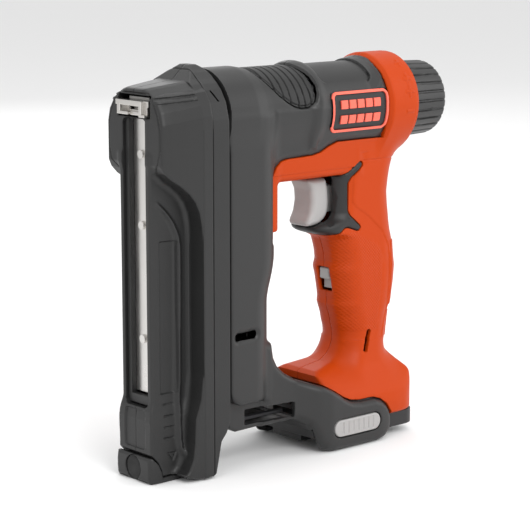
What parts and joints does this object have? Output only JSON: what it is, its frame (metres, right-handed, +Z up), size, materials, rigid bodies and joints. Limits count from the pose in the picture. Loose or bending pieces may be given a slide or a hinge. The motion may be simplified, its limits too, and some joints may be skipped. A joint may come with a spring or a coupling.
{
  "type": "cordless staple gun",
  "caption": "Cordless staple gun with an upright front magazine, a horizontal spring driver barrel, a pistol grip with trigger, a rear adjusting knob and a slide-on battery foot.",
  "frame": {"origin": "centre of the overall box's bottom face, on the ground the tool stands on", "axes": "+X from the front nose to the rear knob, +Z up along the column, +Y to the right of the tool seen by its user"},
  "size_m": [0.2286, 0.0704, 0.2346],
  "materials": {
    "dark_plastic": "satin moulded",
    "module_plastic": "satin moulded",
    "black_plastic": "satin moulded",
    "orange_plastic": "satin moulded, fine texture on the grip",
    "grey_plastic": "satin moulded",
    "knob_plastic": "grooved",
    "badge_salmon": "raised frame",
    "bright_steel": "bright",
    "steel": "machined",
    "spring_steel": "drawn wire",
    "brass": "plated contact",
    "board": "coated board",
    "rubber": "solid"
  },
  "bodies": {
    "housing": {"body_shell_left": "dark_plastic", "body_shell_right": "dark_plastic", "handle_shell_left": "orange_plastic", "handle_shell_right": "orange_plastic", "nose_cover_left": "module_plastic", "nose_cover_right": "module_plastic", "module_housing": "module_plastic", "channel_liner": "black_plastic", "guide_strip": "bright_steel", "strip_rivets": "bright_steel", "driver_guide": "steel", "contact_springs": "spring_steel", "mainspring": "spring_steel", "bumper": "rubber", "lifter_axle": "steel", "gear_frame": "steel", "motor_can": "steel", "gearbox_can": "knob_plastic", "trigger_spring": "spring_steel", "trigger_switch": "black_plastic", "trigger_bezel": "black_plastic", "barrel_pad": "black_plastic", "badge_plate": "black_plastic", "badge_frame": "badge_salmon", "base_plate": "black_plastic", "terminal_block": "black_plastic", "battery_terminals": "brass", "circuit_board": "board", "housing_screws": "steel"},
    "magazine": {"magazine_rail": "steel", "magazine_end_cap": "module_plastic", "pusher_spring": "spring_steel"},
    "magazine_latch": {"magazine_latch": "black_plastic"},
    "pusher": {"pusher": "black_plastic"},
    "contact_nose": {"contact_nose": "bright_steel"},
    "hammer": {"hammer": "steel", "driver_blade": "bright_steel"},
    "spring_seat": {"spring_seat": "steel"},
    "depth_knob": {"depth_knob": "knob_plastic"},
    "lifter": {"lifter_wheel": "steel"},
    "drive_pinion": {"drive_pinion": "steel"},
    "trigger": {"trigger": "grey_plastic"},
    "lock_switch": {"lock_switch": "grey_plastic"},
    "release_left": {"release_button_left": "grey_plastic"},
    "release_right": {"release_button_right": "grey_plastic"},
    "hex_key": {"hex_key": "steel"}
  },
  "joints": [
    {"name": "magazine_slide", "type": "slide", "parent": "housing", "child": "magazine", "axis": [0, 0, -1], "range_m": [0, 0.15]},
    {"name": "latch_press", "type": "slide", "parent": "magazine", "child": "magazine_latch", "axis": [1, 0, 0], "range_m": [0, 0.0015], "stiffness_N_per_m": 600, "springref_m": -0.002},
    {"name": "pusher_slide", "type": "slide", "parent": "magazine", "child": "pusher", "axis": [0, 0, -1], "range_m": [0, 0.14], "stiffness_N_per_m": 25, "springref_m": -0.12, "deforming": ["pusher_spring"]},
    {"name": "nose_press", "type": "slide", "parent": "housing", "child": "contact_nose", "axis": [1, 0, 0], "range_m": [0, 0.003], "stiffness_N_per_m": 900, "springref_m": -0.004, "deforming": ["contact_springs"]},
    {"name": "hammer_slide", "type": "slide", "parent": "housing", "child": "hammer", "axis": [1, 0, 0], "range_m": [0, 0.016], "deforming": ["mainspring"]},
    {"name": "lifter_spin", "type": "hinge", "parent": "housing", "child": "lifter", "pos_m": [-0.0433, 0, 0.17], "axis": [0, 1, 0], "range_deg": [0, 83.5]},
    {"name": "pinion_spin", "type": "hinge", "parent": "housing", "child": "drive_pinion", "pos_m": [-0.0433, 0, 0.155], "axis": [0, 0, 1], "range_deg": [0, 250.5]},
    {"name": "knob_turn", "type": "hinge", "parent": "housing", "child": "depth_knob", "pos_m": [0.0857, 0, 0.204], "axis": [1, 0, 0], "range_deg": [0, 270]},
    {"name": "seat_slide", "type": "slide", "parent": "housing", "child": "spring_seat", "axis": [1, 0, 0], "range_m": [0, 0.004]},
    {"name": "trigger_pull", "type": "slide", "parent": "housing", "child": "trigger", "axis": [1, 0, 0], "range_m": [0, 0.006], "stiffness_N_per_m": 900, "springref_m": -0.003, "deforming": ["trigger_spring"]},
    {"name": "lock_slide", "type": "slide", "parent": "housing", "child": "lock_switch", "axis": [0, 0, -1], "range_m": [0, 0.007]},
    {"name": "release_left_press", "type": "slide", "parent": "housing", "child": "release_left", "axis": [0, 1, 0], "range_m": [0, 0.002], "stiffness_N_per_m": 800, "springref_m": -0.002},
    {"name": "release_right_press", "type": "slide", "parent": "housing", "child": "release_right", "axis": [0, -1, 0], "range_m": [0, 0.002], "stiffness_N_per_m": 800, "springref_m": -0.002},
    {"name": "hex_key_slide", "type": "slide", "parent": "housing", "child": "hex_key", "axis": [0, -1, 0], "range_m": [0, 0.06]}
  ],
  "couplings": [
    {"joint": "lifter_spin", "follows": "hammer_slide", "rad_per_m": 90.909},
    {"joint": "pinion_spin", "follows": "hammer_slide", "rad_per_m": 272.73},
    {"joint": "knob_turn", "follows": "seat_slide", "rad_per_m": 1176.5}
  ]
}
